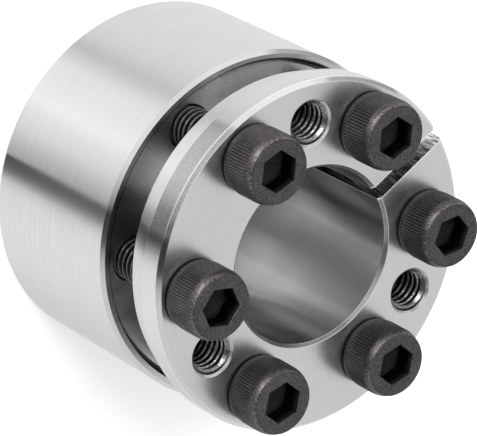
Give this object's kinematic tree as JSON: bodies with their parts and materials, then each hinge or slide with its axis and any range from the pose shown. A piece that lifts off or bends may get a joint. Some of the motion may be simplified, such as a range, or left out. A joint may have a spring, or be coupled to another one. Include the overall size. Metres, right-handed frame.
{
  "type": "shaft locking assembly",
  "caption": "Keyless shaft locking assembly: a slit flanged taper ring drawn by cap screws into a slit outer ring to clamp a hub on a shaft.",
  "frame": {"origin": "centre of the rear face of the outer ring, on which the assembly stands on its end", "axes": "+Z along the shaft axis from the rear end to the flange and screw heads, +X through the slit"},
  "size_m": [0.05, 0.05, 0.0451],
  "materials": {
    "turned_steel": "bright fine-turned steel, lightly oiled",
    "black_oxide_steel": "black oxide, slightly worn on the edges"
  },
  "bodies": {
    "outer_ring_body": {"outer_ring": "turned_steel"},
    "inner_ring_body": {"inner_ring": "turned_steel"},
    "clamp_screw_1_body": {"clamp_screw_1": "black_oxide_steel"},
    "clamp_screw_2_body": {"clamp_screw_2": "black_oxide_steel"},
    "clamp_screw_3_body": {"clamp_screw_3": "black_oxide_steel"},
    "clamp_screw_4_body": {"clamp_screw_4": "black_oxide_steel"},
    "clamp_screw_5_body": {"clamp_screw_5": "black_oxide_steel"},
    "clamp_screw_6_body": {"clamp_screw_6": "black_oxide_steel"}
  },
  "joints": [
    {"name": "draw_in", "type": "slide", "parent": "outer_ring_body", "child": "inner_ring_body", "axis": [0, 0, -1], "range_m": [0, 0.0015]},
    {"name": "clamp_screw_1_turn", "type": "hinge", "parent": "inner_ring_body", "child": "clamp_screw_1_body", "pos_m": [0, 0.0191, 0.0391], "axis": [0, 0, -1], "range_deg": [0, 540]},
    {"name": "clamp_screw_2_turn", "type": "hinge", "parent": "inner_ring_body", "child": "clamp_screw_2_body", "pos_m": [0.01654, 0.00955, 0.0391], "axis": [0, 0, -1], "range_deg": [0, 540]},
    {"name": "clamp_screw_3_turn", "type": "hinge", "parent": "inner_ring_body", "child": "clamp_screw_3_body", "pos_m": [0.01654, -0.00955, 0.0391], "axis": [0, 0, -1], "range_deg": [0, 540]},
    {"name": "clamp_screw_4_turn", "type": "hinge", "parent": "inner_ring_body", "child": "clamp_screw_4_body", "pos_m": [0, -0.0191, 0.0391], "axis": [0, 0, -1], "range_deg": [0, 540]},
    {"name": "clamp_screw_5_turn", "type": "hinge", "parent": "inner_ring_body", "child": "clamp_screw_5_body", "pos_m": [-0.01654, -0.00955, 0.0391], "axis": [0, 0, -1], "range_deg": [0, 540]},
    {"name": "clamp_screw_6_turn", "type": "hinge", "parent": "inner_ring_body", "child": "clamp_screw_6_body", "pos_m": [-0.01654, 0.00955, 0.0391], "axis": [0, 0, -1], "range_deg": [0, 540]}
  ],
  "couplings": [
    {"joint": "clamp_screw_1_turn", "follows": "draw_in", "rad_per_m": 6283.2},
    {"joint": "clamp_screw_2_turn", "follows": "draw_in", "rad_per_m": 6283.2},
    {"joint": "clamp_screw_3_turn", "follows": "draw_in", "rad_per_m": 6283.2},
    {"joint": "clamp_screw_4_turn", "follows": "draw_in", "rad_per_m": 6283.2},
    {"joint": "clamp_screw_5_turn", "follows": "draw_in", "rad_per_m": 6283.2},
    {"joint": "clamp_screw_6_turn", "follows": "draw_in", "rad_per_m": 6283.2}
  ]
}
